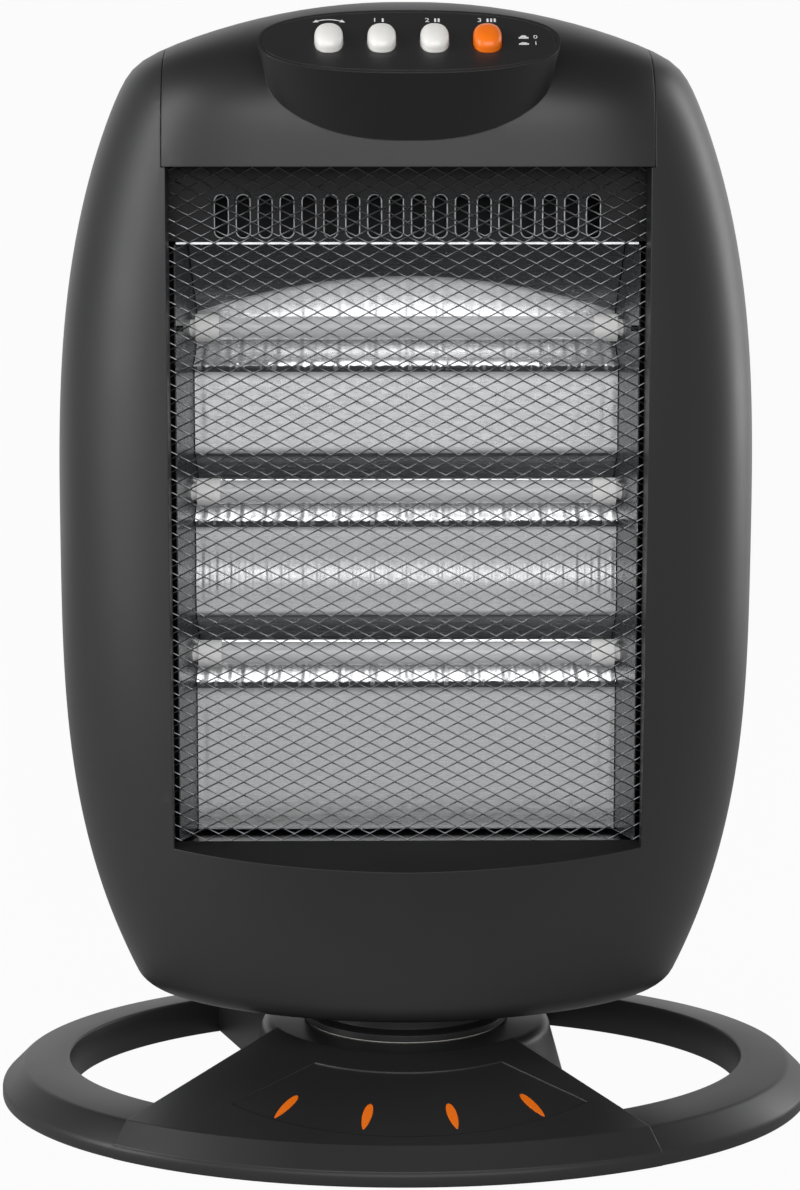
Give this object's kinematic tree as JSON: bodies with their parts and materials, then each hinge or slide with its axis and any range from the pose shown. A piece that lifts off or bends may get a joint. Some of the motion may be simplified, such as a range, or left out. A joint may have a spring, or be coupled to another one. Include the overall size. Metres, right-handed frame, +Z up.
{
  "type": "oscillating halogen heater",
  "caption": "Charcoal oscillating halogen heater with quartz lamps in a polished reflector behind a diamond guard, push buttons on a tilted pod, and a wide oval base",
  "frame": {"origin": "on the floor, on the swivel axis, at the middle of the oval base", "axes": "+X is the viewer's right, along the width of the base; +Y points away from the viewer, so the guard faces -Y; +Z is up, along the swivel axis"},
  "size_m": [0.396, 0.306, 0.5271],
  "materials": {
    "charcoal_abs": "moulded ABS, fine satin grain",
    "black_plastic": "heat-resistant moulded plastic, matt",
    "white_plastic": "glossy push-button moulding",
    "orange_plastic": "glossy orange moulding",
    "natural_acetal": "natural acetal and nylon parts",
    "black_steel": "black painted steel",
    "polished_aluminium": "polished reflector sheet",
    "zinc_steel": "zinc-plated steel",
    "quartz_glass": "clear quartz tube",
    "lamp_ceramic": "white steatite",
    "resistance_wire": "heating filament and its support discs",
    "black_rubber": "moulded rubber"
  },
  "bodies": {
    "base": {"base_shell": "charcoal_abs", "base_cover": "black_plastic", "base_cover_screws": "zinc_steel", "rubber_feet": "black_rubber", "orange_inlays": "orange_plastic", "cord_gland": "black_rubber", "terminal_block": "natural_acetal", "base_wiring": "black_rubber", "swing_motor": "zinc_steel", "motor_screws": "zinc_steel", "tip_switch": "black_plastic", "tip_spring": "zinc_steel", "slip_washer": "natural_acetal"},
    "head": {"neck_collar": "charcoal_abs", "toothed_sector": "natural_acetal", "retaining_nut": "zinc_steel", "neck_screws": "zinc_steel", "front_housing": "charcoal_abs", "top_panel": "charcoal_abs", "rear_cover": "charcoal_abs", "housing_screws": "zinc_steel", "guard_mesh": "black_steel", "vent_plate": "black_steel", "reflector": "polished_aluminium", "reflector_ends": "polished_aluminium", "heat_shield": "black_steel", "thermal_cutout": "black_plastic", "quartz_tube_top": "quartz_glass", "quartz_tube_middle": "quartz_glass", "quartz_tube_bottom": "quartz_glass", "filament_top": "resistance_wire", "filament_middle": "resistance_wire", "filament_bottom": "resistance_wire", "lamp_caps_top": "lamp_ceramic", "lamp_caps_middle": "lamp_ceramic", "lamp_caps_bottom": "lamp_ceramic", "lamp_holders": "lamp_ceramic", "control_plate": "black_plastic", "switch_block": "natural_acetal", "switch_screws": "zinc_steel", "head_wiring": "black_rubber"},
    "tip_plunger": {"tip_plunger": "natural_acetal"},
    "motor_pinion": {"motor_pinion": "zinc_steel"},
    "button_swing": {"button_swing": "white_plastic"},
    "button_heat_one": {"button_heat_one": "white_plastic"},
    "button_heat_two": {"button_heat_two": "white_plastic"},
    "button_power": {"button_power": "orange_plastic"}
  },
  "joints": [
    {"name": "head_swivel", "type": "hinge", "parent": "base", "child": "head", "pos_m": [0, 0, 0.0375], "axis": [0, 0, 1], "range_deg": [-35, 35]},
    {"name": "pinion_turn", "type": "hinge", "parent": "base", "child": "motor_pinion", "pos_m": [0, 0.0435, 0.0285], "axis": [0, 0, 1], "range_deg": [-112, 112]},
    {"name": "tip_plunger_slide", "type": "slide", "parent": "base", "child": "tip_plunger", "axis": [0, 0, -1], "range_m": [0, 0.0036], "stiffness_N_per_m": 60, "springref_m": 0.006, "deforming": ["tip_spring"]},
    {"name": "press_swing", "type": "slide", "parent": "head", "child": "button_swing", "axis": [0, 0.5736, -0.8192], "range_m": [0, 0.004], "stiffness_N_per_m": 300, "springref_m": -0.001},
    {"name": "press_heat_one", "type": "slide", "parent": "head", "child": "button_heat_one", "axis": [0, 0.5736, -0.8192], "range_m": [0, 0.004], "stiffness_N_per_m": 300, "springref_m": -0.001},
    {"name": "press_heat_two", "type": "slide", "parent": "head", "child": "button_heat_two", "axis": [0, 0.5736, -0.8192], "range_m": [0, 0.004], "stiffness_N_per_m": 300, "springref_m": -0.001},
    {"name": "press_power", "type": "slide", "parent": "head", "child": "button_power", "axis": [0, 0.5736, -0.8192], "range_m": [0, 0.004], "stiffness_N_per_m": 300, "springref_m": -0.001}
  ],
  "couplings": [
    {"joint": "pinion_turn", "follows": "head_swivel", "ratio": -3.1429}
  ]
}
